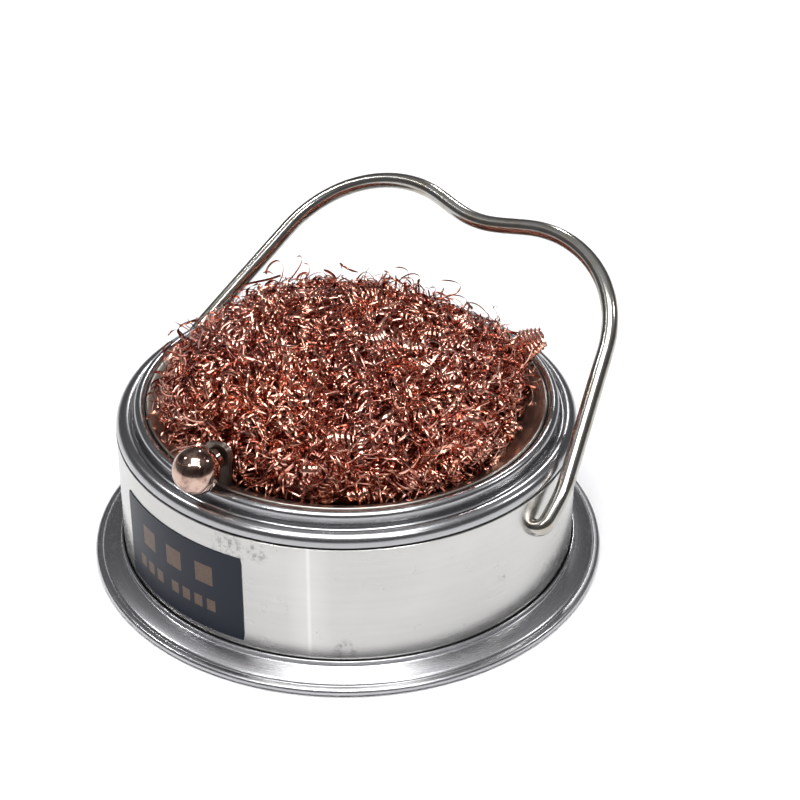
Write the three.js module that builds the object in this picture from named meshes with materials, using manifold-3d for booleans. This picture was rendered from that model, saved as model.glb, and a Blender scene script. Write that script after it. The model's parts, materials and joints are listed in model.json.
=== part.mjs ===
// Soldering iron stand: a pressed steel drum with a tipping pan of copper wool, a ball
// knob that tips the pan, and a wire bail that swings over the top to hold the iron.
// Millimetres, +Z up. The origin is the centre of the underside, on the bench. The bail
// and the pan both turn about lines along X, and the ball knob is at the front, on -Y.

import * as THREE from 'three';
import { mergeVertices } from 'three/addons/utils/BufferGeometryUtils.js';
import Module from 'manifold-3d';

const wasm = await Module();
wasm.setup();

// ---- Driving dimensions -------------------------------------------------------------

const SHEET = 0.9;                // thickness of every pressed sheet
const GAP = 0.3;                  // running gap between separate pieces
const ROUND = 48;                 // sides of every turned piece

const BASE_RADIUS = 50;           // outside of the saucer's rolled hem
const RIM_Z = 3.9;                // top of the saucer's folded rim
const SOCKET_RADIUS = 45.2;       // inside of the saucer's upright wall
const FOLD_RADIUS = 0.45;         // fold at the top of the upright wall
const HEM_RADIUS = 0.7;           // roll at the edge of the flange
const STEP_RADIUS = 48.5;         // groove between the flange's slope and its hem
const STEP_Z = 1.9;

const DRUM_RADIUS = 44.2;         // outside of the drum wall
const DRUM_BOTTOM = SHEET + GAP;
const DRUM_TOP = 28.2;

const COLLAR_BOTTOM = 24.4;       // lower edge of the ring's collar, inside the drum
const BEAD_RADIUS = 1.8;          // rounded shoulder bead
const GROOVE_Z = 30.3;            // where the bead meets the neck
const NECK_RADIUS = 40.6;         // outside of the neck above the shoulder bead
const CREST_Z = 33.3;             // highest point of the rolled crest
const CREST_RADIUS = 1.05;        // roll of the crest
const MOUTH_RADIUS = 38.4;        // opening inside the rolled crest

const PAN_RADIUS = 37.8;
const PAN_TOP = 33;
const PAN_BOTTOM = 23;
const PAN_CORNER = 2.6;           // inside radius of the pan's corner
const PAN_PIVOT_Z = 27;
const PIN_RADIUS = 1.2;
const PIN_HOLE_RADIUS = 1.5;

const BAIL_AXIS_Z = 21.7;         // height of the bail's holes in the drum wall
const BAIL_LEAN = THREE.MathUtils.degToRad(51);
const WIRE_RADIUS = 1.6;
const BAIL_HOLE_RADIUS = 2.1;
const BAIL_HALF_SPAN = 46.4;      // centre of a leg, just above its bend
const BAIL_END = 41;              // tip of the wire, inside the drum
const BAIL_HEIGHT = 54.4;         // from the axis to the centre of the wire at its highest
const BEND_RADIUS = 2;
const LEG_UPRIGHT = 8;            // straight start of each leg, before it leans in
const LEG_LEAN = THREE.MathUtils.degToRad(13.5);
const CORNER_RADIUS = 24;
const SADDLE_DROP = 2.8;          // dip in the middle where the iron's barrel lies

const BALL_RADIUS = 4.35;
const BALL_OUT = 42;              // from the drum's axis to the ball's centre
const BALL_Z = 37.5;
const BALL_NECK_RADIUS = 2.1;
const KNOB_TURN = 1.2 * Math.PI / 180;
const TAB_FACE = 36.5;            // outer face of the tab, just inside the pan's wall
const TAB_THICKNESS = 0.8;
const TAB_WIDTH = 5.4;
const TAB_BOTTOM = 26;
const TAB_HOLE_RADIUS = 1.6;
const SCREW_RADIUS = 1.25;
const SCREW_HEAD_RADIUS = 2.1;
const SCREW_HEAD_THICKNESS = 0.9;

const WOOL_RADIUS = 35.2;
const WOOL_TOP = 50.5;
const WOOL_SHOULDER_Z = 33;
const WOOL_FULLNESS = 2.6;        // 2 is a plain ellipse, and more is a squarer dome

const LABEL_CENTRE = THREE.MathUtils.degToRad(-95.4);
const LABEL_SWEEP = THREE.MathUtils.degToRad(41);
const LABEL_BOTTOM = 5.3;
const LABEL_TOP = 23.5;
const LABEL_THICKNESS = 0.4;

// ---- Materials ----------------------------------------------------------------------

function metal(color, roughness) {
  return new THREE.MeshStandardMaterial({ color, roughness, metalness: 1 });
}

const paint = {
  saucer: () => metal(0xb9b8b6, 0.3),
  drum: () => metal(0xc9c8c6, 0.22),
  pan: () => metal(0xb4b0aa, 0.34),
  wire: () => metal(0xd8d6d4, 0.16),
  ball: () => metal(0xcfccc8, 0.1),
  hardware: () => metal(0xa9a8a6, 0.35),
  copper: () => metal(0xa8553a, 0.4),
  label: () => new THREE.MeshStandardMaterial({ color: 0x14151c, roughness: 0.45 }),
};

// ---- Helpers ------------------------------------------------------------------------

// Turns a closed section, given as [radius, height] corners, about the Z axis.
function turned(section, sides = ROUND) {
  const corners = section.map(([radius, height]) => new THREE.Vector2(radius, height));
  const onAxis = section[0][0] === 0;
  if (!onAxis) {
    corners.push(corners[0].clone());
  }
  return new THREE.LatheGeometry(corners, sides).rotateX(Math.PI / 2);
}

// Points of an arc in the section plane, from one angle to another in degrees.
function arc(centreX, centreY, radius, from, to, steps) {
  const points = [];
  for (let i = 0; i <= steps; i += 1) {
    const angle = THREE.MathUtils.degToRad(from + (to - from) * i / steps);
    points.push([centreX + radius * Math.cos(angle), centreY + radius * Math.sin(angle)]);
  }
  return points;
}

// A cylinder along X, from one x to another, at a height on the Z axis.
function rodAlongX(radius, fromX, toX, z, sides = 20) {
  const length = Math.abs(toX - fromX);
  const geometry = new THREE.CylinderGeometry(radius, radius, length, sides);
  geometry.rotateZ(Math.PI / 2);
  return geometry.translate((fromX + toX) / 2, 0, z);
}

// A cylinder along Y, from one y to another, at a height on the Z axis.
function rodAlongY(radius, fromY, toY, z, sides = 20) {
  const length = Math.abs(toY - fromY);
  const geometry = new THREE.CylinderGeometry(radius, radius, length, sides);
  return geometry.translate(0, (fromY + toY) / 2, z);
}

// The closed solid of a geometry, with its shared corners merged.
function solid(geometry) {
  const bare = geometry.clone();
  bare.deleteAttribute('normal');
  bare.deleteAttribute('uv');
  const merged = mergeVertices(bare, 1e-4);
  const mesh = new wasm.Mesh({
    numProp: 3,
    vertProperties: new Float32Array(merged.attributes.position.array),
    triVerts: new Uint32Array(merged.index.array),
  });
  return new wasm.Manifold(mesh);
}

// The geometry of a solid.
function geometryOf(body) {
  const mesh = body.getMesh();
  const geometry = new THREE.BufferGeometry();
  geometry.setAttribute('position', new THREE.BufferAttribute(mesh.vertProperties, 3));
  geometry.setIndex(new THREE.BufferAttribute(mesh.triVerts, 1));
  geometry.computeVertexNormals();
  return geometry;
}

// A geometry with others cut out of it.
function cut(geometry, ...tools) {
  return geometryOf(tools.reduce((body, tool) => body.subtract(solid(tool)), solid(geometry)));
}

// Geometries joined into one.
function join(first, ...others) {
  return geometryOf(others.reduce((body, other) => body.add(solid(other)), solid(first)));
}

function piece(name, geometry, material) {
  const mesh = new THREE.Mesh(geometry, material);
  mesh.name = name;
  return mesh;
}

// ---- Base ---------------------------------------------------------------------------

// The saucer: a flat floor, an upright wall that the drum drops into, and a flange that
// slopes from the wall's folded rim to a step and a rolled hem on the bench.
function baseSaucer() {
  const foldX = SOCKET_RADIUS + FOLD_RADIUS;
  const hemX = BASE_RADIUS - HEM_RADIUS;
  const under = SHEET * 0.8;
  const section = [
    [0, 0],
    [SOCKET_RADIUS, 0],
    [SOCKET_RADIUS + under, under],
    [SOCKET_RADIUS + under, RIM_Z - SHEET - FOLD_RADIUS],
    [STEP_RADIUS - under, STEP_Z - under],
    [hemX - HEM_RADIUS, HEM_RADIUS],
    ...arc(hemX, HEM_RADIUS, HEM_RADIUS, -90, 90, 6),
    [STEP_RADIUS + 0.2, STEP_Z - 0.3],
    [STEP_RADIUS, STEP_Z],
    [STEP_RADIUS - 0.8, STEP_Z + 0.6],
    ...arc(foldX, RIM_Z - FOLD_RADIUS, FOLD_RADIUS, 20, 180, 4),
    [SOCKET_RADIUS, SHEET * 2],
    [SOCKET_RADIUS - SHEET, SHEET],
    [0, SHEET],
  ];
  return piece('base_saucer', turned(section), paint.saucer());
}

// ---- Drum ---------------------------------------------------------------------------

// The drum wall: an open tube with a hole on each side for the bail's ends.
function drumWall() {
  const inside = DRUM_RADIUS - SHEET;
  const tube = turned([
    [inside, DRUM_BOTTOM],
    [DRUM_RADIUS, DRUM_BOTTOM],
    [DRUM_RADIUS, DRUM_TOP],
    [inside, DRUM_TOP],
  ]);
  const bore = rodAlongX(BAIL_HOLE_RADIUS, -BASE_RADIUS, BASE_RADIUS, BAIL_AXIS_Z, 24);
  return piece('drum_wall', cut(tube, bore), paint.drum());
}

// The shoulder ring: a collar that plugs into the drum, a rounded bead over the drum's
// edge, a short neck and a rolled crest around the mouth. The collar holds the pan's pins.
function shoulderRing() {
  const collarOut = DRUM_RADIUS - SHEET - GAP;
  const collarIn = collarOut - SHEET;
  const neckIn = NECK_RADIUS - SHEET;
  const edge = DRUM_TOP + GAP;
  const beadX = DRUM_RADIUS - BEAD_RADIUS;
  const crestX = NECK_RADIUS - CREST_RADIUS;
  const crestY = CREST_Z - CREST_RADIUS;
  const ring = turned([
    [collarIn, COLLAR_BOTTOM],
    [collarOut, COLLAR_BOTTOM],
    [collarOut, edge],
    [DRUM_RADIUS - GAP, edge],
    ...arc(beadX, edge + GAP * 2, BEAD_RADIUS, 0, 110, 6),
    [NECK_RADIUS + GAP, GROOVE_Z],
    [NECK_RADIUS, GROOVE_Z + GAP],
    ...arc(crestX, crestY, CREST_RADIUS, 0, 180, 7),
    [MOUTH_RADIUS, crestY],
    [neckIn, crestY - SHEET],
    [neckIn, GROOVE_Z - SHEET],
    [collarIn, GROOVE_Z - SHEET - GAP],
  ]);
  const bore = rodAlongX(PIN_HOLE_RADIUS, -DRUM_RADIUS, DRUM_RADIUS, PAN_PIVOT_Z);
  return piece('shoulder_ring', cut(ring, bore), paint.drum());
}

// The label: a thin plate curved round the front of the drum.
function frontLabel() {
  const inner = DRUM_RADIUS + GAP;
  const outer = inner + LABEL_THICKNESS;
  const start = LABEL_CENTRE - LABEL_SWEEP / 2;
  const end = LABEL_CENTRE + LABEL_SWEEP / 2;
  const outline = new THREE.Shape();
  outline.absarc(0, 0, outer, start, end, false);
  outline.absarc(0, 0, inner, end, start, true);
  outline.closePath();
  const geometry = new THREE.ExtrudeGeometry(outline, {
    depth: LABEL_TOP - LABEL_BOTTOM,
    bevelEnabled: false,
    curveSegments: 14,
  });
  return piece('front_label', geometry.translate(0, 0, LABEL_BOTTOM), paint.label());
}

// ---- Bail ---------------------------------------------------------------------------

// Half of the bail's centreline as [out, up] points from the drum's axis and the bail's
// axis: in through the hole, up the leg, round the corner and down into the saddle.
function halfBail() {
  const cornerY = BAIL_HEIGHT - CORNER_RADIUS;
  const legTop = cornerY + CORNER_RADIUS * Math.sin(LEG_LEAN);
  const legTopX = BAIL_HALF_SPAN - (legTop - LEG_UPRIGHT) * Math.tan(LEG_LEAN);
  const cornerX = legTopX - CORNER_RADIUS * Math.cos(LEG_LEAN);
  const lean = THREE.MathUtils.radToDeg(LEG_LEAN);
  const points = [
    [BAIL_END, 0],
    ...arc(BAIL_HALF_SPAN - BEND_RADIUS, BEND_RADIUS, BEND_RADIUS, -90, 0, 4),
    [BAIL_HALF_SPAN, LEG_UPRIGHT - 2],
    [BAIL_HALF_SPAN - 2 * Math.tan(LEG_LEAN), LEG_UPRIGHT + 2],
    ...arc(cornerX, cornerY, CORNER_RADIUS, lean, 90, 8),
  ];
  const steps = 4;
  for (let i = 1; i <= steps; i += 1) {
    const out = cornerX * (1 - i / steps);
    const drop = SADDLE_DROP * (1 + Math.cos(Math.PI * out / cornerX)) / 2;
    points.push([out, BAIL_HEIGHT - drop]);
  }
  return points;
}

// The bail: one bent wire, drawn upright about its own axis and leant back.
function wireBail() {
  const right = halfBail();
  const left = right.slice(0, -1).map(([out, up]) => [-out, up]).reverse();
  const route = [...right, ...left].map(([x, z]) => new THREE.Vector3(x, 0, z));
  const path = new THREE.CatmullRomCurve3(route, false, 'centripetal');
  const round = new THREE.Shape();
  round.absarc(0, 0, WIRE_RADIUS, 0, 2 * Math.PI, false);
  const geometry = new THREE.ExtrudeGeometry(round, {
    steps: 100,
    curveSegments: 5,
    bevelEnabled: false,
    extrudePath: path,
  });
  const bail = piece('wire_bail', geometry, paint.wire());
  bail.position.z = BAIL_AXIS_Z;
  bail.rotation.x = -BAIL_LEAN;
  return bail;
}

// ---- Pan ----------------------------------------------------------------------------

// The pan: a shallow round dish with a bored side for each pivot pin.
function dripPan() {
  const inside = PAN_RADIUS - SHEET;
  const cornerX = inside - PAN_CORNER;
  const cornerY = PAN_BOTTOM + SHEET + PAN_CORNER;
  const lip = SHEET / 3;
  const dish = turned([
    [0, PAN_BOTTOM],
    ...arc(cornerX, cornerY, PAN_CORNER + SHEET, -90, 0, 4),
    [PAN_RADIUS, PAN_TOP - lip],
    [PAN_RADIUS - lip, PAN_TOP],
    [inside + lip, PAN_TOP],
    [inside, PAN_TOP - lip],
    ...arc(cornerX, cornerY, PAN_CORNER, 0, -90, 4),
    [0, PAN_BOTTOM + SHEET],
  ]);
  const bore = rodAlongX(PIN_HOLE_RADIUS, -DRUM_RADIUS, DRUM_RADIUS, PAN_PIVOT_Z);
  return piece('drip_pan', cut(dish, bore), paint.pan());
}

// A pivot pin, from inside the pan's wall to the outer face of the ring's collar.
function pivotPin(name, side) {
  const inner = PAN_RADIUS - SHEET - GAP;
  const outer = DRUM_RADIUS - SHEET - GAP;
  const pin = rodAlongX(PIN_RADIUS, side * inner, side * outer, PAN_PIVOT_Z);
  return piece(name, pin, paint.hardware());
}

// The tab: a small upright plate inside the pan's front wall that carries the knob.
function knobTab() {
  const top = BALL_Z + TAB_WIDTH / 2;
  const plate = new THREE.BoxGeometry(TAB_WIDTH, TAB_THICKNESS, top - TAB_BOTTOM);
  plate.translate(0, -TAB_FACE + TAB_THICKNESS / 2, (top + TAB_BOTTOM) / 2);
  const hole = rodAlongY(TAB_HOLE_RADIUS, -TAB_FACE - 1, -TAB_FACE + TAB_THICKNESS + 1, BALL_Z);
  return piece('knob_tab', cut(plate, hole), paint.hardware());
}

// The screw: a flat head behind the tab and a shank that ends inside the ball.
function knobScrew() {
  const seat = -TAB_FACE + TAB_THICKNESS + GAP;
  const head = rodAlongY(SCREW_HEAD_RADIUS, seat, seat + SCREW_HEAD_THICKNESS, BALL_Z);
  const shank = rodAlongY(SCREW_RADIUS, -BALL_OUT, seat + SCREW_HEAD_THICKNESS / 2, BALL_Z);
  return piece('knob_screw', join(head, shank), paint.hardware());
}

// The knob: a steel ball that rests on the crest, with a short neck that meets the tab and
// a blind bore for its screw.
function ballKnob() {
  const ball = new THREE.SphereGeometry(BALL_RADIUS, 24, 14);
  ball.translate(0, -BALL_OUT, BALL_Z);
  const neck = rodAlongY(BALL_NECK_RADIUS, -BALL_OUT, -TAB_FACE - GAP, BALL_Z);
  const bore = rodAlongY(SCREW_RADIUS + GAP, -BALL_OUT - GAP, -TAB_FACE + 1, BALL_Z);
  return piece('ball_knob', cut(join(ball, neck), bore), paint.ball());
}

// ---- Wool ---------------------------------------------------------------------------

// The copper wool: a low dome that fills the pan, with a flat cleared for the tab.
function copperWool() {
  const steps = 12;
  const height = WOOL_TOP - WOOL_SHOULDER_Z;
  const floor = PAN_BOTTOM + SHEET + GAP;
  const section = [
    [0, floor],
    [WOOL_RADIUS - PAN_CORNER, floor],
    [WOOL_RADIUS - GAP, floor + PAN_CORNER],
  ];
  for (let i = 0; i < steps; i += 1) {
    const angle = Math.PI / 2 * i / steps;
    const out = Math.cos(angle) ** (2 / WOOL_FULLNESS);
    const up = Math.sin(angle) ** (2 / WOOL_FULLNESS);
    section.push([WOOL_RADIUS * out, WOOL_SHOULDER_Z + height * up]);
  }
  section.push([0, WOOL_TOP]);
  const clearance = new THREE.BoxGeometry(TAB_WIDTH + 2, 6, 2 * WOOL_TOP);
  clearance.translate(0, -TAB_FACE - GAP * 2, WOOL_TOP);
  clearance.rotateZ(KNOB_TURN);
  const wool = cut(turned(section, 40), clearance);
  return piece('copper_wool', wool, paint.copper());
}

// ---- Assembly -----------------------------------------------------------------------

const drum = new THREE.Group();
drum.add(drumWall(), shoulderRing(), frontLabel());
drum.add(pivotPin('pan_pivot_left', -1), pivotPin('pan_pivot_right', 1));

const knob = new THREE.Group();
knob.rotation.z = KNOB_TURN;
knob.add(knobTab(), knobScrew(), ballKnob());

const pan = new THREE.Group();
pan.add(dripPan(), knob, copperWool());

const group = new THREE.Group();
group.add(baseSaucer(), drum, pan, wireBail());

export default group;
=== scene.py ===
"""Looks of the soldering iron stand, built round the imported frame.

The metal pieces are turned and bent again here at a fine resolution, in the places that
the frame gives. The copper wool is made of about three thousand curled flat ribbons.
Lengths are in metres, with +Z up and the origin at the centre of the stand's underside.
"""

import json
import math

import bpy
import numpy as np
from mathutils import Matrix, Vector


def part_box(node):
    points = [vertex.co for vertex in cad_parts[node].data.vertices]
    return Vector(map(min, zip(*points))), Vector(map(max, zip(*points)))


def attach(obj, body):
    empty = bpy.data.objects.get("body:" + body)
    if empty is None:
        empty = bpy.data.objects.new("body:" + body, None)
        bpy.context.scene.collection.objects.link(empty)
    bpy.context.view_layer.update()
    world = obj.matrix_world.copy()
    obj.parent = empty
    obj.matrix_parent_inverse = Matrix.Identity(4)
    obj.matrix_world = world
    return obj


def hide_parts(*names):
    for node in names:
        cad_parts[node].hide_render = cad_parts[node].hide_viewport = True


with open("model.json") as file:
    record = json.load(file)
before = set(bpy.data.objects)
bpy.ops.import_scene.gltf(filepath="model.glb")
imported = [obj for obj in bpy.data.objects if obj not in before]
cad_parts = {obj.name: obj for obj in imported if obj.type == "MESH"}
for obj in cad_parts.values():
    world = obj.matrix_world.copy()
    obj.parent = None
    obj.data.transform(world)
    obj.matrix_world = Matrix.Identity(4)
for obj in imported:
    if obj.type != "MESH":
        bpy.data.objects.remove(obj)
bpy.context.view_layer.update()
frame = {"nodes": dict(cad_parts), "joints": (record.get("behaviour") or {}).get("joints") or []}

rng = np.random.default_rng(1025)

MM = 0.001
TURNED_SIDES = 192

# ---- Sizes taken from the frame ------------------------------------------------------

BASE_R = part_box("base_saucer")[1].x
RIM_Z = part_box("base_saucer")[1].z
DRUM_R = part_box("drum_wall")[1].x
DRUM_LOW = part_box("drum_wall")[0].z
DRUM_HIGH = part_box("drum_wall")[1].z
COLLAR_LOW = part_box("shoulder_ring")[0].z
CREST_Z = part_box("shoulder_ring")[1].z
PAN_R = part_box("drip_pan")[1].x
PAN_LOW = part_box("drip_pan")[0].z
PAN_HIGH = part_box("drip_pan")[1].z
WOOL_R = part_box("copper_wool")[1].x
WOOL_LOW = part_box("copper_wool")[0].z
WOOL_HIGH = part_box("copper_wool")[1].z
BALL_R = (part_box("ball_knob")[1].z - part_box("ball_knob")[0].z) / 2
BALL_OUT = -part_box("ball_knob")[0].y - BALL_R
BALL_Z = (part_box("ball_knob")[0].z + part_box("ball_knob")[1].z) / 2
LABEL_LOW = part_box("front_label")[0].z
LABEL_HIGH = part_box("front_label")[1].z
BAIL_AXIS = next(j for j in frame["joints"] if j["name"] == "bail_swing")["pos_m"]

# ---- Sizes that only the looks need --------------------------------------------------

SHEET = 0.55 * MM                 # thickness of the pressed sheet at its visible edges
SOCKET_R = BASE_R - 4.8 * MM      # inside of the saucer's upright wall
STEP_R = BASE_R - 1.5 * MM        # groove between the flange's slope and its hem
NECK_R = DRUM_R - 3.6 * MM        # outside of the neck above the bead
MOUTH_R = DRUM_R - 5.7 * MM       # opening inside the crest
BEAD_R = 1.8 * MM                 # rounded shoulder bead
CREST_R = 1.05 * MM               # roll of the crest

WIRE_R = 1.6 * MM
BAIL_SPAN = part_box("wire_bail")[1].x - WIRE_R
BAIL_END = 41 * MM                # tip of the wire, inside the drum
BAIL_RISE = 54.4 * MM             # from the axis to the centre of the wire at its highest
BAIL_BEND = 2 * MM
BAIL_LEAN = math.radians(51)
LEG_UPRIGHT = 8 * MM              # straight start of each leg, before it leans in
LEG_LEAN = math.radians(13.5)
CORNER_R = 24 * MM
SADDLE_DROP = 2.8 * MM            # dip in the middle where an iron's barrel lies
HOLE_R = 2.1 * MM

NECK_END = BALL_OUT - 36.8 * MM   # from the ball's centre to the end of its neck
KNOB_TURN = math.radians(1.2)
TAB_OUTER = 36.5 * MM             # faces of the tab, from the drum's axis
TAB_INNER = 35.7 * MM

LABEL_MIDDLE = math.radians(-95.4)
LABEL_HALF = math.radians(20.5)
# Printed blocks: middle (across, up), half width and half height, all in mm.
LABEL_BLOCKS = ((-7.6, 3.0, 2.0, 2.1), (0.0, 3.0, 2.0, 2.1), (7.6, 3.0, 2.0, 2.1),
                *((x, -3.6, 0.95, 1.25) for x in (-10.5, -7.5, -4.5, 0.0, 3.0, 6.0, 9.0)))


# ---- Node helpers --------------------------------------------------------------------

def set_stops(node, stops):
    """Fills a colour ramp: stops are (position, colour) with grey numbers or RGB."""
    elements = node.color_ramp.elements
    while len(elements) < len(stops):
        elements.new(0.5)
    for element, (position, colour) in zip(elements, stops):
        rgb = (colour,) * 3 if isinstance(colour, (int, float)) else colour
        element.position = position
        element.color = (*rgb, 1.0)


class Shader:
    """A material's node tree, with short calls for the nodes used here."""

    def __init__(self, name):
        self.material = bpy.data.materials.new(name)
        self.material.use_nodes = True
        self.tree = self.material.node_tree
        self.tree.nodes.clear()
        self.surface = self.tree.nodes.new("ShaderNodeBsdfPrincipled")
        output = self.tree.nodes.new("ShaderNodeOutputMaterial")
        self.link(self.surface.outputs[0], output.inputs["Surface"])

    def link(self, source, target):
        self.tree.links.new(source, target)

    def feed(self, value, socket):
        if isinstance(value, bpy.types.NodeSocket):
            self.link(value, socket)
        else:
            socket.default_value = value

    def math(self, operation, a, b=0.0, c=0.0):
        node = self.tree.nodes.new("ShaderNodeMath")
        node.operation = operation
        for value, socket in zip((a, b, c), node.inputs):
            self.feed(value, socket)
        return node.outputs[0]

    def coordinates(self):
        """Object coordinates as angle, radius and height, and the plain vector."""
        texture = self.tree.nodes.new("ShaderNodeTexCoord")
        split = self.tree.nodes.new("ShaderNodeSeparateXYZ")
        self.link(texture.outputs["Object"], split.inputs[0])
        x, y, z = split.outputs
        angle = self.math("ARCTAN2", y, x)
        square = self.math("MULTIPLY_ADD", x, x, self.math("MULTIPLY", y, y))
        radius = self.math("SQRT", square)
        return angle, radius, z, texture.outputs["Object"]

    def vector(self, x, y, z):
        node = self.tree.nodes.new("ShaderNodeCombineXYZ")
        for value, socket in zip((x, y, z), node.inputs):
            self.feed(value, socket)
        return node.outputs[0]

    def noise(self, vector, scale, detail=2.0, roughness=0.5):
        node = self.tree.nodes.new("ShaderNodeTexNoise")
        self.link(vector, node.inputs["Vector"])
        node.inputs["Scale"].default_value = scale
        node.inputs["Detail"].default_value = detail
        node.inputs["Roughness"].default_value = roughness
        return node.outputs["Fac"]

    def ramp(self, factor, stops):
        """A factor turned into greys or colours by stops, as set_stops takes them."""
        node = self.tree.nodes.new("ShaderNodeValToRGB")
        self.link(factor, node.inputs[0])
        set_stops(node, stops)
        return node.outputs[0]

    def mix(self, factor, a, b, blend="MIX"):
        node = self.tree.nodes.new("ShaderNodeMix")
        node.data_type = "RGBA"
        node.blend_type = blend
        self.feed(factor, node.inputs[0])
        for value, socket in ((a, node.inputs[6]), (b, node.inputs[7])):
            self.feed((*value, 1.0) if isinstance(value, tuple) else value, socket)
        return node.outputs[2]

    def bump(self, height, strength, distance):
        node = self.tree.nodes.new("ShaderNodeBump")
        node.inputs["Strength"].default_value = strength
        node.inputs["Distance"].default_value = distance
        self.link(height, node.inputs["Height"])
        self.link(node.outputs[0], self.surface.inputs["Normal"])

    def set(self, name, value):
        self.feed(value, self.surface.inputs[name])


# ---- Materials -----------------------------------------------------------------------

def steel(name, colour, roughness, stain, marks=(), highlight_angle=None):
    """Bare turned steel: fine lines round the axis, clouds, smudges, single marks and a painted
    highlight.

    marks are (angle in degrees, height and size in mm); the last argument is the angle of a
    painted vertical highlight, in degrees.
    """
    shader = Shader(name)
    angle, radius, height, place = shader.coordinates()
    along = shader.math("MULTIPLY", angle, 0.0006)
    fine = shader.vector(radius, height, along)
    lines = shader.noise(fine, 5200, detail=3.0, roughness=0.6)
    bands = shader.noise(fine, 700, detail=2.0)
    clouds = shader.noise(place, 55, detail=4.0, roughness=0.55)
    smudge = shader.noise(place, 240, detail=5.0, roughness=0.7)
    worn = shader.ramp(smudge, [(0.0, 0.0), (0.58, 0.0), (0.74, 1.0), (1.0, 1.0)])
    dull = tuple(c * (1 - 0.32 * stain) for c in colour)
    soft = shader.math("MULTIPLY_ADD", bands, 0.35, shader.math("MULTIPLY", clouds, 0.65))
    tint = shader.mix(shader.ramp(soft, [(0.35, 0.0), (0.7, 1.0)]), colour, dull)
    dark = tuple(c * 0.62 for c in colour)
    tint = shader.mix(shader.math("MULTIPLY", worn, 0.4 * stain), tint, dark)
    grime = shader.noise(place, 900, detail=4.0, roughness=0.8)
    specks = shader.ramp(grime, [(0.47, 0.0), (0.60, 1.0)])
    for at, up, size in marks:
        turn = shader.math("MULTIPLY", shader.math("SUBTRACT", angle, math.radians(at)), DRUM_R)
        rise = shader.math("SUBTRACT", height, up * MM)
        square = shader.math("MULTIPLY_ADD", turn, turn, shader.math("MULTIPLY", rise, rise))
        near = shader.math("SUBTRACT", 1.0, shader.math("DIVIDE", square, (size * MM) ** 2))
        near = shader.math("MAXIMUM", near, 0.0)
        amount = shader.math("MULTIPLY", shader.math("MULTIPLY", near, specks), 0.75)
        tint = shader.mix(amount, tint, tuple(c * 0.25 for c in colour))
    # A painted highlight: a soft bright vertical streak put into the colour at this angle.
    if highlight_angle is not None:
        off = shader.math("ABSOLUTE", shader.math("SUBTRACT", angle, math.radians(highlight_angle)))
        away = shader.math("MULTIPLY", off, 10.0)
        bright = shader.ramp(away, [(0.0, 0.55), (0.05, 0.40), (0.16, 0.0)])
        wide = shader.ramp(away, [(0.0, 0.22), (0.5, 0.12), (0.95, 0.0)])
        light = tuple(min(1.0, c * 1.55) for c in colour)
        tint = shader.mix(shader.math("MAXIMUM", bright, wide), tint, light)
    shader.set("Base Color", tint)
    shader.set("Metallic", 1.0)
    spread = shader.math("MULTIPLY_ADD", lines, 0.10, roughness - 0.06)
    spread = shader.math("MULTIPLY_ADD", clouds, 0.08, spread)
    shader.set("Roughness", shader.math("MULTIPLY_ADD", worn, 0.16 * stain, spread))
    shader.bump(lines, 0.05, 0.00002)
    return shader.material


def bright_metal(name, colour, roughness, patch_colour, size=240):
    """Polished metal with patches of a second colour: a slight tarnish, which on the knob is
    partly a painted reflection.
    """
    shader = Shader(name)
    _, _, _, place = shader.coordinates()
    patches = shader.noise(place, size, detail=4.0, roughness=0.6)
    fine = shader.noise(place, 3800, detail=2.0)
    amount = shader.ramp(patches, [(0.42, 0.0), (0.68, 1.0)])
    shader.set("Base Color", shader.mix(amount, colour, patch_colour))
    shader.set("Metallic", 1.0)
    shader.set("Roughness", shader.math("MULTIPLY_ADD", patches, 0.12, roughness - 0.05))
    shader.bump(fine, 0.03, 0.00002)
    return shader.material


def label_print():
    """A dark satin plate with plain printed blocks in two rows."""
    shader = Shader("label_plate")
    angle, _, height, place = shader.coordinates()
    turn = shader.math("SUBTRACT", angle, LABEL_MIDDLE)
    across = shader.math("MULTIPLY", turn, DRUM_R / MM)
    middle = (LABEL_LOW + LABEL_HIGH) / 2
    up = shader.math("MULTIPLY", shader.math("SUBTRACT", height, middle), 1 / MM)

    def within(value, centre, reach):
        off = shader.math("ABSOLUTE", shader.math("SUBTRACT", value, centre))
        return shader.math("LESS_THAN", off, reach)

    ink = 0.0
    for centre, rise, half_width, half_height in LABEL_BLOCKS:
        block = shader.math("MULTIPLY", within(across, centre, half_width),
                            within(up, rise, half_height))
        ink = shader.math("MAXIMUM", block, ink)
    mottle = shader.noise(place, 2600, detail=3.0)
    thin = shader.ramp(mottle, [(0.3, 0.6), (0.7, 1.0)])
    ink = shader.math("MULTIPLY", ink, thin)
    ground = shader.mix(mottle, (0.006, 0.009, 0.018), (0.010, 0.014, 0.026))
    shader.set("Base Color", shader.mix(ink, ground, (0.15, 0.10, 0.07)))
    shader.set("Specular IOR Level", 0.22)
    shader.set("Roughness", shader.math("MULTIPLY_ADD", mottle, 0.12, 0.34))
    shader.bump(mottle, 0.04, 0.00003)
    return shader.material


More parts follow.
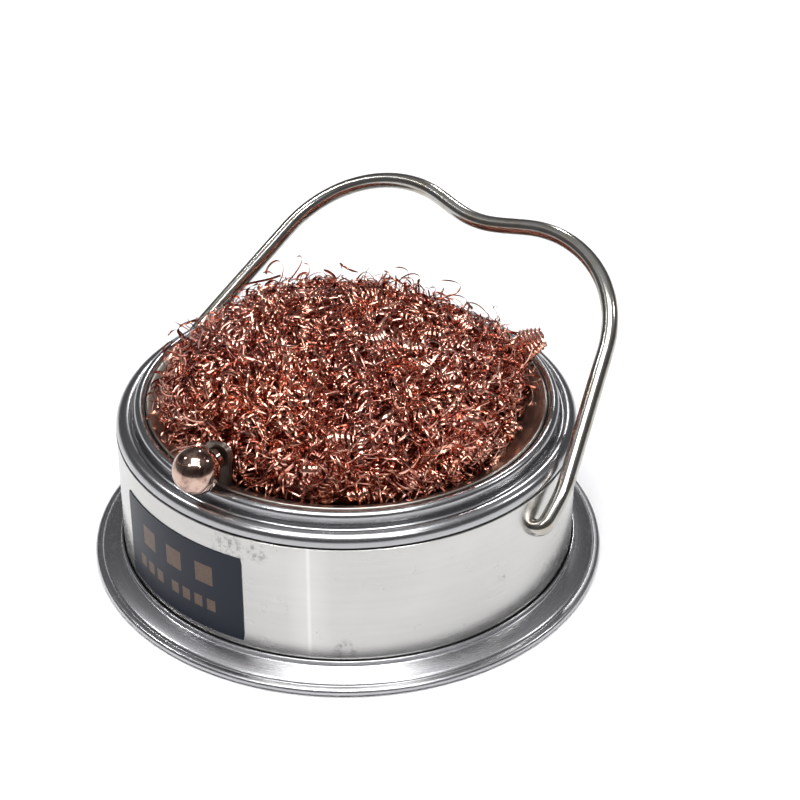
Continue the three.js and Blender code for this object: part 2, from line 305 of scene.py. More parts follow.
def copper(name, deep, bright, roughness):
    """Copper ribbon: each strand has its own tint, kept in the mesh as 'tint'."""
    shader = Shader(name)
    strand = shader.tree.nodes.new("ShaderNodeAttribute")
    strand.attribute_name = "tint"
    _, _, _, place = shader.coordinates()
    patches = shader.noise(place, 900, detail=3.0, roughness=0.6)
    areas = shader.ramp(shader.noise(place, 95, detail=2.0), [(0.38, 0.0), (0.62, 1.0)])
    shade = shader.math("MULTIPLY_ADD", patches, 0.35, strand.outputs["Fac"])
    orange = shader.math("MULTIPLY", areas, 0.55)
    tone = shader.ramp(shade, [(0.1, deep), (1.15 / 1.35, bright)])
    shader.set("Base Color", shader.mix(orange, tone, (1.0, 0.80, 0.62), "MULTIPLY"))
    shader.set("Metallic", 1.0)
    shader.set("Roughness", shader.math("MULTIPLY_ADD", patches, 0.16, roughness - 0.05))
    shader.bump(shader.noise(place, 5200), 0.08, 0.00003)
    return shader.material


WALL_MARKS = ((-78.5, 25.3, 4.2), (-71, 25.8, 2.6), (-50.5, 6.2, 2.6),
              (4.5, 21.0, 1.5), (-10.5, 14.5, 1.2))
SAUCER_STEEL = steel("saucer_steel", (0.475, 0.475, 0.49), 0.24, 0.55)
# The wall's painted vertical highlight lies at -58.7 degrees.
WALL_STEEL = steel("wall_steel", (0.535, 0.53, 0.515), 0.22, 0.35, WALL_MARKS, -58.7)
RING_STEEL = steel("ring_steel", (0.42, 0.42, 0.43), 0.20, 0.4)
PAN_STEEL = steel("pan_steel", (0.44, 0.405, 0.365), 0.26, 0.9)
PART_STEEL = steel("part_steel", (0.17, 0.135, 0.12), 0.34, 0.4)
WIRE_STEEL = bright_metal("wire_steel", (0.475, 0.465, 0.44), 0.14, (0.36, 0.32, 0.26))
# The knob's copper-brown colour and brown patches are partly its own tint and partly a painted
# reflection of the copper wool round it.
KNOB_METAL = bright_metal("knob_metal", (0.56, 0.40, 0.33), 0.09, (0.15, 0.07, 0.055), 420)
LABEL = label_print()
RIBBON = copper("copper_ribbon", (0.23, 0.055, 0.04), (0.83, 0.44, 0.35), 0.14)
# A paler copy of the ribbon copper: partly its own tone, partly painted highlight on the rim
# curl and the knob's loop.
HIGHLIGHT_RIBBON = copper("highlight_ribbon", (0.50, 0.24, 0.19), (0.84, 0.58, 0.52), 0.15)
# The core's near-black copper is painted shade deep in the wool.
CORE_SHADE = copper("core_painted_shade", (0.05, 0.012, 0.010), (0.16, 0.045, 0.032), 0.5)


# ---- Mesh helpers --------------------------------------------------------------------

def new_piece(name, points, faces, material, sharp=32):
    """A smooth-shaded object, with edges sharper than the angle left sharp."""
    mesh = bpy.data.meshes.new(name)
    mesh.from_pydata(np.asarray(points).tolist(), [], faces)
    mesh.validate()
    mesh.materials.append(material)
    mesh.shade_smooth()
    mesh.set_sharp_from_angle(angle=math.radians(sharp))
    piece = bpy.data.objects.new(name, mesh)
    bpy.context.scene.collection.objects.link(piece)
    return piece


def arc(centre, radius, start, end, steps):
    """Points of an arc in a plane, from one angle to another in degrees."""
    angles = np.radians(np.linspace(start, end, steps + 1))
    return [(centre[0] + radius * math.cos(a), centre[1] + radius * math.sin(a))
            for a in angles]


def skin(rows, sides, closed=False):
    """Faces between rings of points, with the last ring meeting the first if closed."""
    faces = []
    for i in range(rows if closed else rows - 1):
        here, there = i * sides, (i + 1) % rows * sides
        for k in range(sides):
            n = (k + 1) % sides
            faces.append((here + k, here + n, there + n, there + k))
    return faces


def turned(section, sides=TURNED_SIDES):
    """Points and faces of a closed section of (radius, height) turned about Z."""
    on_axis = section[0][0] == 0
    ring = section[1:-1] if on_axis else section
    angles = np.linspace(0, 2 * math.pi, sides, endpoint=False)
    points = [(r * math.cos(a), r * math.sin(a), z) for r, z in ring for a in angles]
    rows = len(ring)
    faces = skin(rows, sides, closed=not on_axis)
    if on_axis:
        first, last = len(points), len(points) + 1
        points += [(0, 0, section[0][1]), (0, 0, section[-1][1])]
        end = (rows - 1) * sides
        for k in range(sides):
            n = (k + 1) % sides
            faces.append((first, n, k))
            faces.append((last, end + k, end + n))
    return points, faces


def tube(route, radius, sides):
    """Points and faces of a closed round wire along a route in the XZ plane.

    The faces look inward.
    """
    route = np.asarray(route, float)
    run = np.gradient(route, axis=0)
    run /= np.linalg.norm(run, axis=1)[:, None]
    out_of_plane = np.array([0.0, 1.0, 0.0])
    across = np.cross(run, out_of_plane)
    turns = np.linspace(0, 2 * math.pi, sides, endpoint=False)
    dome = np.array([(math.cos(a), math.sin(a)) for a in np.radians((15, 40, 65))])
    stations = []
    for c, s in dome[::-1]:
        stations.append((route[0] - run[0] * radius * s * 0.5, 0, radius * c))
    stations += [(p, i, radius) for i, p in enumerate(route)]
    for c, s in dome:
        stations.append((route[-1] + run[-1] * radius * s * 0.5, -1, radius * c))
    points = []
    for centre, i, r in stations:
        for a in turns:
            points.append(centre + r * (math.cos(a) * across[i] + math.sin(a) * out_of_plane))
    faces = skin(len(stations), sides)
    end = (len(stations) - 1) * sides
    faces.append(tuple(range(sides - 1, -1, -1)))
    faces.append(tuple(end + k for k in range(sides)))
    return points, faces


# ---- Base ----------------------------------------------------------------------------

def base_saucer():
    """The pressed saucer: floor, upright socket wall with a thin rim, flange and hem."""
    hem = 0.72 * MM
    hem_x = BASE_R - hem
    step_z = 1.85 * MM
    rim_in = DRUM_R + 0.25 * MM
    rim_out = rim_in + 0.45 * MM
    flange_in = rim_out + 0.2 * MM
    flange_top = RIM_Z - 1.02 * MM
    flange_out = STEP_R - 0.1 * MM
    section = [(0, 0), (SOCKET_R - 1.2 * MM, 0)]
    section += arc((SOCKET_R - 0.6 * MM, 1.2 * MM), 1.2 * MM, -90, 0, 6)
    section += [(SOCKET_R + SHEET, flange_top - SHEET)]
    section += [(STEP_R - 0.9 * MM, step_z - SHEET), (hem_x - hem, hem)]
    section += arc((hem_x, hem), hem, -120, 88, 16)
    section += arc((STEP_R + 0.32 * MM, step_z - 0.16 * MM), 0.2 * MM, -80, -160, 4)
    for t in np.linspace(0, 1, 12)[::-1]:
        fall = (flange_top - step_z - 0.05 * MM) * (0.55 * t + 0.45 * t * t)
        section.append((flange_out + (flange_in - flange_out) * (1 - t), flange_top - fall))
    section += arc((rim_out + 0.18 * MM, flange_top + 0.2 * MM), 0.18 * MM, -90, -180, 3)
    section += arc((rim_out - 0.2 * MM, RIM_Z - 0.2 * MM), 0.2 * MM, 0, 90, 4)
    section += arc((rim_in + 0.15 * MM, RIM_Z - 0.15 * MM), 0.15 * MM, 90, 180, 4)
    section += [(rim_in, 1.8 * MM)]
    section += arc((rim_in - 0.8 * MM, 1.6 * MM), 0.8 * MM, 0, -90, 5)
    section += [(0, 0.8 * MM)]
    points, faces = turned(section)
    piece = new_piece("saucer", points, faces, SAUCER_STEEL)
    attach(piece, "base")
    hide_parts("base_saucer")


# ---- Drum ----------------------------------------------------------------------------

def drum_wall():
    """The drum's wall, an open tube with softened edges, shut where the bail goes in.

    The cutter's faces look inward, as tube() makes them, so the cut opens no hole.
    """
    soft = 0.18 * MM
    inner = DRUM_R - SHEET
    section = arc((DRUM_R - soft, DRUM_LOW + soft), soft, -90, 0, 3)
    section += [(DRUM_R, z) for z in np.linspace(DRUM_LOW, DRUM_HIGH, 10)[1:-1]]
    section += arc((DRUM_R - soft, DRUM_HIGH - soft), soft, 0, 90, 3)
    section += [(inner, DRUM_HIGH), (inner, DRUM_LOW)]
    points, faces = turned(section, 256)
    piece = new_piece("drum", points, faces, WALL_STEEL)
    bore_route = [(x, 0, BAIL_AXIS[2]) for x in (-BASE_R, 0, BASE_R)]
    cut_points, cut_faces = tube(bore_route, HOLE_R, 48)
    cutter = new_piece("hole_cutter", cut_points, cut_faces, WALL_STEEL)
    bore = piece.modifiers.new("holes", "BOOLEAN")
    bore.operation = "DIFFERENCE"
    bore.solver = "EXACT"
    bore.object = cutter
    apply_modifiers(piece)
    bpy.data.objects.remove(cutter)
    round_normals(piece)
    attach(piece, "drum")
    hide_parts("drum_wall")


def apply_modifiers(piece):
    """Replaces a piece's mesh with the one that its modifiers make."""
    bpy.context.view_layer.update()
    graph = bpy.context.evaluated_depsgraph_get()
    made = bpy.data.meshes.new_from_object(piece.evaluated_get(graph))
    piece.modifiers.clear()
    piece.data = made


def round_normals(piece):
    """Gives the wall the exact shading of a cylinder, which the boolean disturbs."""
    mesh = piece.data
    mesh.shade_smooth()
    normals = []
    for polygon in mesh.polygons:
        flat = polygon.normal
        for index in polygon.vertices:
            point = mesh.vertices[index].co
            radial = Vector((point.x, point.y, 0)).normalized()
            lean = flat.dot(radial)
            round_face = abs(lean) > 0.97
            normals.append(radial * math.copysign(1, lean) if round_face else flat)
    mesh.normals_split_custom_set(normals)


def shoulder_ring():
    """The ring over the drum's edge: collar, rounded bead, groove, neck and rolled crest."""
    edge = DRUM_HIGH + 0.3 * MM
    collar = DRUM_R - 1.3 * MM
    groove_z = edge + 1.75 * MM
    crest = (NECK_R - CREST_R, CREST_Z - CREST_R)
    section = [(collar - SHEET, COLLAR_LOW), (collar, COLLAR_LOW), (collar, edge)]
    section += arc((DRUM_R - 0.35 * MM, edge + 0.25 * MM), 0.25 * MM, -90, 0, 4)
    section += arc((DRUM_R - BEAD_R - 0.1 * MM, edge + 0.6 * MM), BEAD_R, 0, 108, 14)
    section += arc((NECK_R + 0.75 * MM, groove_z + 0.62 * MM), 0.75 * MM, -75, -172, 8)
    section += arc(crest, CREST_R, 4, 150, 14)
    section += arc((MOUTH_R + 0.25 * MM, CREST_Z - 0.75 * MM), 0.25 * MM, 100, 240, 6)
    section += [(NECK_R - SHEET - 0.6 * MM, CREST_Z - 1.3 * MM)]
    section += [(NECK_R - SHEET, groove_z), (NECK_R - SHEET, edge + 0.9 * MM)]
    section += [(collar - SHEET, edge + 0.9 * MM)]
    points, faces = turned(section)
    piece = new_piece("ring", points, faces, RING_STEEL, 40)
    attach(piece, "drum")
    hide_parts("shoulder_ring")


def label_plate():
    """The label: a thin plate curved round the drum, with small corner rounds."""
    inner = DRUM_R + 0.02 * MM
    outer = DRUM_R + 0.16 * MM
    across, up = 72, 14
    points, faces = [], []
    for radius in (inner, outer):
        for j in range(up + 1):
            for i in range(across + 1):
                u, v = 2 * i / across - 1, 2 * j / up - 1
                pull = 0.012 * max(0.0, abs(u) - 0.97) / 0.03 * max(0.0, abs(v) - 0.9) / 0.1
                angle = LABEL_MIDDLE + LABEL_HALF * u * (1 - pull)
                z = (LABEL_LOW + LABEL_HIGH) / 2 + (LABEL_HIGH - LABEL_LOW) / 2 * v
                points.append((radius * math.cos(angle), radius * math.sin(angle), z))
    row, layer = across + 1, (across + 1) * (up + 1)
    for j in range(up):
        for i in range(across):
            a = j * row + i
            faces.append((a, a + row, a + row + 1, a + 1))
            b = a + layer
            faces.append((b, b + 1, b + row + 1, b + row))
    border = list(range(across))
    border += [j * row + across for j in range(up)]
    border += [up * row + across - i for i in range(across)]
    border += [(up - j) * row for j in range(up)]
    for a, b in zip(border, border[1:] + border[:1]):
        faces.append((a, b, b + layer, a + layer))
    piece = new_piece("label", points, faces, LABEL)
    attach(piece, "drum")
    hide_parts("front_label")


# ---- Bail ----------------------------------------------------------------------------

def bail_route():
    """The bail's centreline in its own upright plane, as (out, up) from its axis."""
    corner_y = BAIL_RISE - CORNER_R
    leg_top = corner_y + CORNER_R * math.sin(LEG_LEAN)
    leg_top_x = BAIL_SPAN - (leg_top - LEG_UPRIGHT) * math.tan(LEG_LEAN)
    corner_x = leg_top_x - CORNER_R * math.cos(LEG_LEAN)
    lean = math.degrees(LEG_LEAN)
    half = [(BAIL_END, 0), ((BAIL_END + BAIL_SPAN - BAIL_BEND) / 2, 0)]
    half += arc((BAIL_SPAN - BAIL_BEND, BAIL_BEND), BAIL_BEND, -90, 0, 12)
    knee = 3 * MM
    for t in np.linspace(-1, 1, 9):
        up = LEG_UPRIGHT + knee * t
        inward = math.tan(LEG_LEAN) * knee * (t + 1) ** 2 / 4
        half.append((BAIL_SPAN - inward, up))
    half += [(leg_top_x + (leg_top - u) * math.tan(LEG_LEAN), u)
             for u in np.linspace(LEG_UPRIGHT + knee, leg_top, 12)[1:-1]]
    half += arc((corner_x, corner_y), CORNER_R, lean, 90, 34)
    for out in np.linspace(corner_x, 0, 17)[1:]:
        drop = SADDLE_DROP * (1 + math.cos(math.pi * out / corner_x)) / 2
        half.append((out, BAIL_RISE - drop))
    return half + [(-out, up) for out, up in half[-2::-1]]


def wire_bail():
    """The bail: one bent wire, leant back from the drum."""
    route = np.array([(out, 0, up) for out, up in bail_route()])
    steps = np.linalg.norm(np.diff(route, axis=0), axis=1)
    reach = np.concatenate([[0], np.cumsum(steps)])
    even = np.linspace(0, reach[-1], 420)
    route = np.array([np.interp(even, reach, route[:, k]) for k in range(3)]).T
    for _ in range(2):
        route[1:-1] = (route[:-2] + 2 * route[1:-1] + route[2:]) / 4
    points, faces = tube(route, WIRE_R, 28)
    piece = new_piece("bail", points, faces, WIRE_STEEL, 60)
    place = Matrix.Translation(BAIL_AXIS) @ Matrix.Rotation(-BAIL_LEAN, 4, "X")
    piece.data.transform(place)
    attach(piece, "bail")
    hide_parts("wire_bail")


# ---- Pan and knob --------------------------------------------------------------------

def drip_pan():
    """The pan: a dish whose wall slopes in from a lip just under the ring's crest.

    It has no holes for its pins, which run into its wall.
    """
    corner = 2.6 * MM
    lip = MOUTH_R - 0.2 * MM
    section = [(0, PAN_LOW)]
    section += arc((PAN_R - corner, PAN_LOW + corner), corner, -90, 0, 8)
    section += [(PAN_R, PAN_HIGH - 1.4 * MM), (lip, PAN_HIGH - 0.9 * MM)]
    section += arc((lip - 0.3 * MM, PAN_HIGH - 0.3 * MM), 0.3 * MM, 0, 115, 8)
    section += [(lip - 1.3 * MM, PAN_HIGH - 0.45 * MM), (lip - 6.2 * MM, PAN_HIGH - 3.6 * MM)]
    section += arc((lip - 10.2 * MM, PAN_LOW + 4.4 * MM), 3.6 * MM, -20, -90, 8)
    section += [(0, PAN_LOW + SHEET)]
    points, faces = turned(section)
    piece = new_piece("pan", points, faces, PAN_STEEL)
    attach(piece, "pan")
    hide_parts("drip_pan")


def knob_strap():
    """The tab that carries the knob: a flat strap with rounded corners."""
    low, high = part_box("knob_tab")
    half = (high.x - low.x) / 2 - 0.05 * MM
    corner = 1.6 * MM
    outline = [(-half, low.z), (half, low.z)]
    outline += arc((half - corner, high.z - corner), corner, 0, 90, 7)
    outline += arc((corner - half, high.z - corner), corner, 90, 180, 7)
    count = len(outline)
    points = [(x, y, z) for y in (-TAB_OUTER, -TAB_INNER) for x, z in outline]
    faces = [tuple(range(count)), tuple(2 * count - 1 - k for k in range(count))]
    for k in range(count):
        n = (k + 1) % count
        faces.append((n, k, count + k, count + n))
    piece = new_piece("tab", points, faces, PART_STEEL)
    piece.data.transform(Matrix.Rotation(KNOB_TURN, 4, "Z"))
    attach(piece, "pan")
    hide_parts("knob_tab")


def ball_knob():
    """The knob: a steel ball with a short turned neck that meets the tab."""
    neck = 2.1 * MM
    meet = math.degrees(math.acos(neck / BALL_R))
    section = [(0, -NECK_END), (neck - 0.2 * MM, -NECK_END), (neck, -NECK_END + 0.2 * MM)]
    section += arc((0, 0), BALL_R, -meet, 88, 48) + [(0, BALL_R)]
    points, faces = turned(section, 72)
    piece = new_piece("knob", points, faces, KNOB_METAL)
    turn = Matrix.Rotation(KNOB_TURN, 4, "Z") @ Matrix.Translation((0, -BALL_OUT, BALL_Z))
    piece.data.transform(turn @ Matrix.Rotation(math.pi / 2, 4, "X"))
    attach(piece, "pan")
    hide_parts("ball_knob")


# ---- Wool ----------------------------------------------------------------------------

WOOL_FULLNESS = 2.3
WOOL_SHOULDER = CREST_Z - 0.5 * MM
# Bulges over the pan's edge: angle and half width in degrees, and size in mm.
WOOL_BULGES = ((-17, 18, 3.0), (-122, 30, 2.6), (57, 12, 3.0), (165, 25, 0.8))
CORE_DEPTH = 3.4                  # from the wool's surface down to its core, in mm
RIBBON_THICKNESS = 0.07 * MM


def wool_radius(angle):
    """The wool's outer radius at an angle: round, with bulges over the pan's edge."""
    radius = WOOL_R - 0.9 * MM
    for middle, half_width, size in WOOL_BULGES:
        off = (math.degrees(angle) - middle + 180) % 360 - 180
        radius += size * MM * math.exp(-(off / half_width) ** 2)
    return radius


def wool_height(angle, share):
    """Height of the wool's surface at an angle and a share of its radius, with lumps."""
    profile = max(0.0, 1 - min(share, 1.0) ** WOOL_FULLNESS) ** (1 / WOOL_FULLNESS)
    lumps = 0.6 * math.sin(3 * angle + 1.1) + 0.5 * math.sin(5 * angle + 0.4)
    lumps += 0.7 * math.sin(4 * angle + 9 * share)
    lean = 2.4 * share * math.cos(angle - math.radians(212))
    rise = WOOL_HIGH - WOOL_SHOULDER - 3.6 * MM
    return WOOL_SHOULDER + profile * (rise + (lumps * share * 0.8 + lean) * MM)


def wool_core():
    """The dense middle of the wool, below the loose ribbons, in a near-black copper that is
    painted shade deep in the wool.
    """
    sides, rings = 144, 30
    rows = [[(32.4 * MM * math.cos(a), 32.4 * MM * math.sin(a), WOOL_LOW + 0.2 * MM)
             for a in np.linspace(0, 2 * math.pi, sides, endpoint=False)]]
    for i in range(rings):
        share = math.sin(math.pi / 2 * (rings - i) / rings)
        row = []
        for a in np.linspace(0, 2 * math.pi, sides, endpoint=False):
            rough = 0.5 * math.sin(17 * a + 23 * share) * math.sin(31 * share + 9 * a)
            r = min(wool_radius(a) - CORE_DEPTH * MM, 33.2 * MM) * share
            z = wool_height(a, share) - (CORE_DEPTH - rough) * MM
            row.append((r * math.cos(a), r * math.sin(a), max(z, WOOL_LOW + 2 * MM)))
        rows.append(row)
    points = [p for row in rows for p in row]
    faces = skin(len(rows), sides)
    last = (len(rows) - 1) * sides
    points.append((0, 0, wool_height(0, 0) - CORE_DEPTH * MM))
    for k in range(sides):
        faces.append((last + k, last + (k + 1) % sides, len(points) - 1))
    faces.append(tuple(range(sides - 1, -1, -1)))
    piece = new_piece("wool_core", points, faces, CORE_SHADE, 60)
    finish_wool(piece, np.full(len(points), 0.2))


def keep_tints(piece, tints):
    """Keeps a tint for every point in the mesh, where the copper material reads it."""
    attribute = piece.data.attributes.new("tint", "FLOAT", "POINT")
    attribute.data.foreach_set("value", np.asarray(tints, np.float32))


def finish_wool(piece, tints):
    """Gives a piece its strands' tints, and lets it stand for the wool."""
    keep_tints(piece, tints)
    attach(piece, "wool")
    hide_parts("copper_wool")


def unit(v):
    """Vectors scaled to length one."""
    return v / np.linalg.norm(v, axis=-1, keepdims=True)


def ribbon(route, side, width, thickness):
    """Points and faces of one flat closed ribbon with a three-cornered section.

    The faces look inward.
    """
    run = unit(np.gradient(route, axis=0))
    side = unit(side - run * np.sum(side * run, axis=1, keepdims=True))
    back = np.cross(run, side)
    taper = np.ones(len(route))
    taper[0] = taper[-1] = 0.4
    half = (width / 2 * taper)[:, None]
    corners = [route + side * half, route - side * half, route + back * thickness]
    points = np.stack(corners, axis=1).reshape(-1, 3)
    j = np.arange(len(route) - 1)[:, None]
    strips = [np.concatenate([3 * j + a, 3 * j + b, 3 * j + 3 + b, 3 * j + 3 + a], axis=1)
              for a, b in ((0, 1), (1, 2), (2, 0))]
    end = 3 * (len(route) - 1)
    return points, np.concatenate(strips), [[2, 1, 0], [end, end + 1, end + 2]]


def surface_spot(depth):
    """A seeded point at a depth under the wool's surface, with its outward direction."""
    angle = rng.uniform(-math.pi, math.pi)
    share = math.sqrt(rng.uniform(0, 1))
    height = wool_height(angle, share)
    if rng.uniform() < 0.22:
        share = rng.uniform(0.97, 1.03)
        height = WOOL_SHOULDER + rng.uniform(-2.4, 4.5) * MM
    radius = wool_radius(angle) * share - 0.9 * MM * share
    spot = np.array([radius * math.cos(angle), radius * math.sin(angle), height])
    steep = share ** 3
    outward = unit(np.array([math.cos(angle) * steep, math.sin(angle) * steep, 1.05 - steep]))
    return spot - outward * depth, outward


def frame_about(axis):
    """Two directions at right angles to an axis."""
    other = np.array([0.3, 0.5, 0.81]) if abs(axis[2]) < 0.8 else np.array([1.0, 0.2, 0.1])
    first = unit(np.cross(axis, other))
    return first, np.cross(axis, first)


def coil(spot, heading, turns, radius, length, bend, flare):
    """A helix along a short bent axis, with the ribbon lying flat on its outside."""
    first, second = frame_about(heading)
    t = np.linspace(0, 1, int(turns * 13) + 3)
    phase = 2 * math.pi * turns * t + rng.uniform(0, 6)
    spread = radius * (1 + flare * (t - 0.5) - 0.35 * flare * flare * (2 * t - 1) ** 2)
    axis = spot + heading * (length * (t - 0.5))[:, None] + bend * ((2 * t - 1) ** 2)[:, None]
    spoke = first * np.cos(phase)[:, None] + second * np.sin(phase)[:, None]
    return axis + spoke * spread[:, None], heading + 0.3 * spoke


def open_curl(spot, outward):
    """One loose curl of a few wide turns at most."""
    heading = rng.normal(size=3)
    heading = unit(heading - outward * np.dot(heading, outward) * rng.uniform(0.0, 0.9))
    turns = rng.uniform(0.8, 2.6)
    radius = rng.uniform(1.0, 2.7) * MM
    length = turns * rng.uniform(0.7, 3.2) * MM
    bend = rng.normal(size=3) * 1.3 * MM
    return coil(spot, heading, turns, radius, length, bend, rng.uniform(-0.4, 0.4))


def tight_curl(spot, outward):
    """One springy curl: several close turns that lie along the surface."""
    heading = rng.normal(size=3)
    heading = unit(heading - outward * np.dot(heading, outward) * 0.9)
    turns = rng.uniform(3.0, 6.5)
    radius = rng.uniform(0.8, 1.7) * MM
    length = turns * rng.uniform(0.6, 1.0) * MM
    bend = rng.normal(size=3) * 1.2 * MM
    return coil(spot, heading, turns, radius, length, bend, rng.uniform(-0.4, 0.4))


def wandering_curl(spot, outward):
    """One long strand that wanders over the wool, waved and coiled as it goes."""
    heading = unit(np.cross(outward, rng.normal(size=3)))
    across = np.cross(outward, heading)
    t = np.linspace(-0.5, 0.5, 84)
    length = rng.uniform(9, 20) * MM
    sway = rng.uniform(-0.35, 0.35) * length * np.sin(2 * math.pi * t + rng.uniform(0, 6))
    fall = -length * length * t * t / (60 * MM)
    axis = spot + heading * (length * t)[:, None] + across * sway[:, None]
    axis += outward * fall[:, None]
    phase = 2 * math.pi * rng.uniform(2.5, 5.5) * t + rng.uniform(0, 6)
    phase += 1.2 * np.sin(2 * math.pi * t + rng.uniform(0, 6))
    wide = rng.uniform(0.7, 1.9) * MM * (1 + 0.4 * np.sin(3 * math.pi * t + rng.uniform(0, 6)))
    spoke = across * np.cos(phase)[:, None] + outward * np.sin(phase)[:, None]
    return axis + spoke * wide[:, None], heading + 0.4 * spoke


def stray(spot, outward):
    """One loose strand: a long open arc that lies on the wool or springs off it."""
    heading = unit(np.cross(outward, rng.normal(size=3)))
    across = np.cross(heading, outward)
    rise = unit(outward * rng.uniform(-0.1, 0.5) + across)
    radius = rng.uniform(1.8, 6.5) * MM
    sweep = rng.uniform(1.6, 5.2)
    t = np.linspace(-0.5, 0.5, 36)
    turn = heading * np.sin(sweep * t)[:, None] + rise * (np.cos(sweep * t) - 0.8)[:, None]
    wave = outward * (0.7 * MM * np.sin(5 * t + rng.uniform(0, 6)))[:, None]
    route = spot + radius * turn + wave
    return route, outward + 0.8 * across * np.sin(3 * t)[:, None]


def hold_in(route):
    """Keeps a strand in its pan: inside the crest, over the sloping wall, off the tab."""
    low = WOOL_LOW + 0.5 * MM
    reach = np.linalg.norm(route[:, :2], axis=1)
    over_lip = np.clip((reach - 31.5 * MM) / (6.3 * MM), 0, 1)
    floor = low + over_lip * (PAN_HIGH - low + 0.3 * MM)
    route[:, 2] = np.clip(route[:, 2], floor, CREST_Z + 24.0 * MM)
    limit = np.where(route[:, 2] < CREST_Z + 0.6 * MM, MOUTH_R - 0.6 * MM, MOUTH_R + 1.6 * MM)
    route[:, :2] *= np.minimum(1, limit / np.maximum(reach, 1e-9))[:, None]
    tab_middle, tab_reach, tab_back = 0.8 * MM, 3.7 * MM, -33.9 * MM
    near_tab = (abs(route[:, 0] - tab_middle) < tab_reach) & (route[:, 1] < tab_back)
    route[near_tab, 1] = tab_back
    return route


def wool_strands(name, crops):
    """Many strands in one piece. Each crop is (count, maker, depths, widths, tints)."""
    points, quads, ends, shades, start = [], [], [], [], 0
    for count, maker, depths, widths, tints in crops:
        for _ in range(count):
            route, side = maker(*surface_spot(rng.uniform(*depths) * MM))
            width = rng.uniform(*widths) * MM
            part, strips, caps = ribbon(hold_in(route), side, width, RIBBON_THICKNESS)
            points.append(part)
            quads.append(strips + start)
            ends += [[i + start for i in cap] for cap in caps]
            shades.append(np.full(len(part), rng.uniform(*tints)))
            start += len(part)
    faces = np.concatenate(quads).tolist() + ends
    piece = new_piece(name, np.concatenate(points), faces, RIBBON, 50)
    finish_wool(piece, np.concatenate(shades))


def rim_curl():
    """The tight curl of wide ribbon on the wool's right edge, in a paler copper that is partly
    painted highlight.
    """
    angle, out, up = math.radians(58), 38.2, 37.4
    spot = np.array([out * math.cos(angle), out * math.sin(angle), up]) * MM
    heading = unit(np.array([0.58, 0.55, 0.42]))
    route, side = coil(spot, heading, 6.2, 2.7 * MM, 4.6 * MM, np.zeros(3), -0.55)
    part, strips, caps = ribbon(route, side, 0.60 * MM, RIBBON_THICKNESS)
    piece = new_piece("wool_rim_curl", part, strips.tolist() + caps, HIGHLIGHT_RIBBON, 50)
    finish_wool(piece, np.full(len(part), 1.0))


def knob_ribbon():
    """A loop of loose ribbon that has caught on the knob."""
    middle = np.array([BALL_OUT * math.sin(KNOB_TURN), -BALL_OUT * math.cos(KNOB_TURN), BALL_Z])
    t = np.linspace(-0.6, 5.4, 80)[:, None]
    loop = np.cos(t) * np.array([1.0, 0, 0.1]) + np.sin(t) * np.array([0, 1.0, -0.1])
    route = middle + np.array([-1.0, -0.9, 3.3]) * MM + 3.3 * MM * loop
    off = route - middle
    far = np.linalg.norm(off, axis=1, keepdims=True)
    route = middle + off * np.maximum(1, (BALL_R + 0.2 * MM) / far)
    part, strips, caps = ribbon(route, unit(route - middle) + 0.6 * loop, 0.28 * MM, 0.06 * MM)
    piece = new_piece("knob_ribbon", part, strips.tolist() + caps, HIGHLIGHT_RIBBON, 50)
    keep_tints(piece, np.full(len(part), 0.5))
    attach(piece, "pan")
    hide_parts("ball_knob")


def copper_wool():
    """The wool: a dense core, crops of curls at different depths, and loose strands; the deeper
    crops get darker tints, as painted shade.
    """
    wool_core()
    # Tints: the deeper crops draw from darker ranges, which is painted shade down in the wool.
    crops = (
        (240, open_curl, (1.9, 4.0), (0.25, 0.50), (0.0, 0.45)),
        (195, open_curl, (1.1, 3.0), (0.22, 0.46), (0.0, 0.8)),
        (68, tight_curl, (0.8, 2.5), (0.34, 0.62), (0.1, 0.9)),
        (128, wandering_curl, (0.9, 2.8), (0.24, 0.60), (0.0, 1.0)),
    )
    for i in range(4):
        wool_strands(f"wool_curls_{i + 1}", crops)
    loose = ((400, stray, (0.4, 2.8), (0.18, 0.42), (0.2, 1.0)),
             (24, open_curl, (-0.4, 0.7), (0.16, 0.30), (0.3, 1.0)))
    wool_strands("wool_strays", loose)
    rim_curl()
    knob_ribbon()


# ---- Stage ---------------------------------------------------------------------------

def place_camera():
    """The camera, 36 degrees above the bench and 41 degrees round from the front."""
    azimuth = math.radians(40.7)
    distance, height = 0.32486, 0.23499
    pitch, yaw, roll = 0.5598, 0.0312, 0.0044
    place = Matrix.Rotation(azimuth, 4, "Z")
    turn = (place @ Matrix.Rotation(-yaw, 4, "Z")
            @ Matrix.Rotation(math.pi / 2 - pitch, 4, "X") @ Matrix.Rotation(roll, 4, "Z"))
    data = bpy.data.cameras.new("camera")
    data.lens = 90
    data.sensor_width = 36
    camera = bpy.data.objects.new("camera", data)
    bpy.context.scene.collection.objects.link(camera)
    spot = place @ Vector((0, -distance, height))
    camera.matrix_world = Matrix.Translation(spot) @ turn
    bpy.context.scene.camera = camera


def softbox(name, spot, aim, size, power):
    """A white rectangular light at a spot, aimed at a point."""
    data = bpy.data.lights.new(name, "AREA")
    data.shape = "RECTANGLE"
    data.size, data.size_y = size
    data.energy = power
    light = bpy.data.objects.new(name, data)
    light.location = spot
    light.rotation_euler = (Vector(aim) - Vector(spot)).to_track_quat("-Z", "Y").to_euler()
    bpy.context.scene.collection.objects.link(light)


# Small lamps: direction round the stand and height, both in degrees, and watts.
LAMPS = ((200, 48, 1.6), (120, 40, 1.4), (50, 42, 1.3), (-20, 50, 1.1), (-95, 52, 1.1))
LAMP_REACH = 1.1
LAMP_SIZE = (0.07, 0.07)
# The room's brightness, from the horizon (0) to straight up (1).
ROOM_GREYS = ((0.0, 0.42), (0.06, 0.20), (0.25, 0.11), (0.62, 0.13), (0.9, 0.4))
BENCH_DROP = 0.2 * MM             # below the stand, so that the two faces don't fight


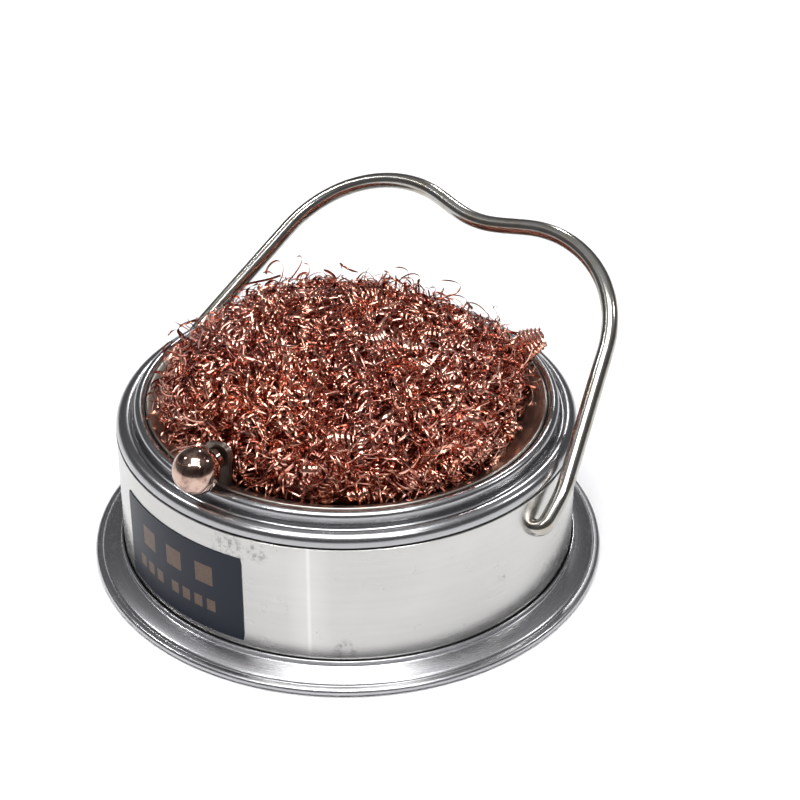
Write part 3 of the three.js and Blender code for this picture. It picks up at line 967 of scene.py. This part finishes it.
def stage():
    """A plain pale bench, a dim room and soft lights."""
    half = 1.6
    corners = [(-half, -half, 0), (half, -half, 0), (half, half, 0), (-half, half, 0)]
    shader = Shader("bench")
    _, _, _, place = shader.coordinates()
    paper = shader.noise(place, 900, detail=2.0)
    shader.set("Base Color", shader.mix(paper, (0.90, 0.90, 0.91), (0.93, 0.93, 0.935)))
    shader.set("Roughness", 0.75)
    floor = new_piece("bench", corners, [(0, 1, 2, 3)], shader.material)
    floor.location.z = -BENCH_DROP

    world = bpy.data.worlds.new("room")
    world.use_nodes = True
    nodes, links = world.node_tree.nodes, world.node_tree.links
    nodes.clear()
    coordinate = nodes.new("ShaderNodeTexCoord")
    split = nodes.new("ShaderNodeSeparateXYZ")
    ramp = nodes.new("ShaderNodeValToRGB")
    background = nodes.new("ShaderNodeBackground")
    output = nodes.new("ShaderNodeOutputWorld")
    links.new(coordinate.outputs["Generated"], split.inputs[0])
    links.new(split.outputs[2], ramp.inputs[0])
    links.new(ramp.outputs[0], background.inputs[0])
    links.new(background.outputs[0], output.inputs[0])
    set_stops(ramp, [(up, (grey, grey, grey * 1.03)) for up, grey in ROOM_GREYS])
    background.inputs["Strength"].default_value = 1.0
    bpy.context.scene.world = world
    bpy.context.scene.view_settings.view_transform = "Standard"

    softbox("top_light", (0.19, -0.24, 1.03), (0, 0, 0), (0.66, 0.66), 11.0)
    for k, (around, up, power) in enumerate(LAMPS):
        a, e = math.radians(around), math.radians(up)
        spot = (LAMP_REACH * math.cos(a) * math.cos(e), LAMP_REACH * math.sin(a) * math.cos(e),
                LAMP_REACH * math.sin(e))
        softbox(f"lamp_{k + 1}", spot, (0, 0, 0.03), LAMP_SIZE, power)


base_saucer()
drum_wall()
shoulder_ring()
label_plate()
wire_bail()
drip_pan()
knob_strap()
ball_knob()
copper_wool()
for node in ("pan_pivot_left", "pan_pivot_right", "knob_screw"):
    frame["nodes"][node].data.materials.clear()
    frame["nodes"][node].data.materials.append(PART_STEEL)
place_camera()
stage()
